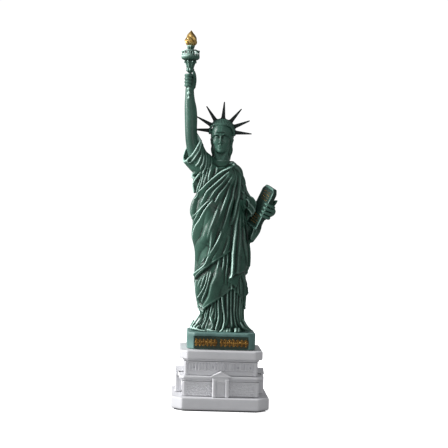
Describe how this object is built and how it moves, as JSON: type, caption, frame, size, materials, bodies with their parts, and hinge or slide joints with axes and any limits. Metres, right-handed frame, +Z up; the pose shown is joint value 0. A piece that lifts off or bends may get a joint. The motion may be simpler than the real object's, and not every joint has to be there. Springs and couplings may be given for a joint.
{
  "type": "miniature landmark statue",
  "caption": "Souvenir statue of a robed figure holding up a torch, with a tablet in the other hand and a crown of rays, on a stepped white pedestal.",
  "frame": {"origin": "centre of the felt pad's underside, on the table", "axes": "+Z up through the pedestal and figure, -Y the way the figure faces, +X towards the figure's left hand and tablet"},
  "size_m": [0.0991, 0.0954, 0.3736],
  "materials": {
    "felt": "dark green felt",
    "white_resin": "matt white cast resin",
    "green_resin": "satin verdigris-green painted cast resin",
    "dark_resin": "near-black green moulded resin",
    "plaque_paint": "dark green paint on resin",
    "gold_paint": "gold paint on resin",
    "steel": "plain steel",
    "brass": "brass"
  },
  "bodies": {
    "root": {"felt_pad": "felt", "base_slab": "white_resin", "lower_storey": "white_resin", "mid_ledge": "white_resin", "upper_storey": "white_resin", "cornice_slab": "white_resin", "front_porch": "white_resin", "right_porch": "white_resin", "back_porch": "white_resin", "left_porch": "white_resin", "figure_plinth": "green_resin", "plaque": "plaque_paint", "frieze_left": "gold_paint", "frieze_right": "gold_paint", "clamp_rod": "steel", "clamp_washer": "steel", "clamp_nut": "steel", "threaded_insert": "brass", "robed_body": "green_resin", "head": "green_resin", "diadem": "green_resin", "ray_halo": "dark_resin", "raised_arm": "green_resin", "torch": "green_resin", "gallery_rail": "green_resin", "flame": "gold_paint", "tablet": "green_resin", "tablet_plate": "green_resin", "left_forearm": "green_resin", "neck_dowel": "steel", "shoulder_dowel": "steel", "elbow_dowel": "steel"}
  },
  "joints": []
}
